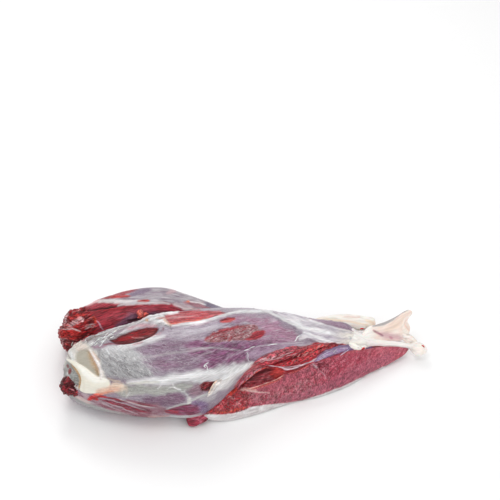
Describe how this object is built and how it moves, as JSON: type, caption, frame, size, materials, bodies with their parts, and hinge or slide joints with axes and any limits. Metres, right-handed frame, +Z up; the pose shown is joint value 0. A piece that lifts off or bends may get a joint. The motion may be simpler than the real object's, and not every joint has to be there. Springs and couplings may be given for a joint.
{
  "type": "raw beef shank",
  "caption": "Raw boneless beef shank: a long belly of meat under silvery skin, with cut muscles beside it and pale tendons at the hock end.",
  "frame": {"origin": "middle of the bounding box's underside, which is the plane the shank lies on", "axes": "+X from the knee end to the hock tendons, +Y towards the back, +Z up"},
  "size_m": [0.417, 0.1709, 0.0839],
  "materials": {
    "red_meat": "moist raw muscle, fibrous",
    "silver_skin": "wet translucent membrane over muscle",
    "tendon": "smooth wet cream tendon and ligament"
  },
  "bodies": {
    "root": {"beef_shank": "red_meat"}
  },
  "joints": []
}
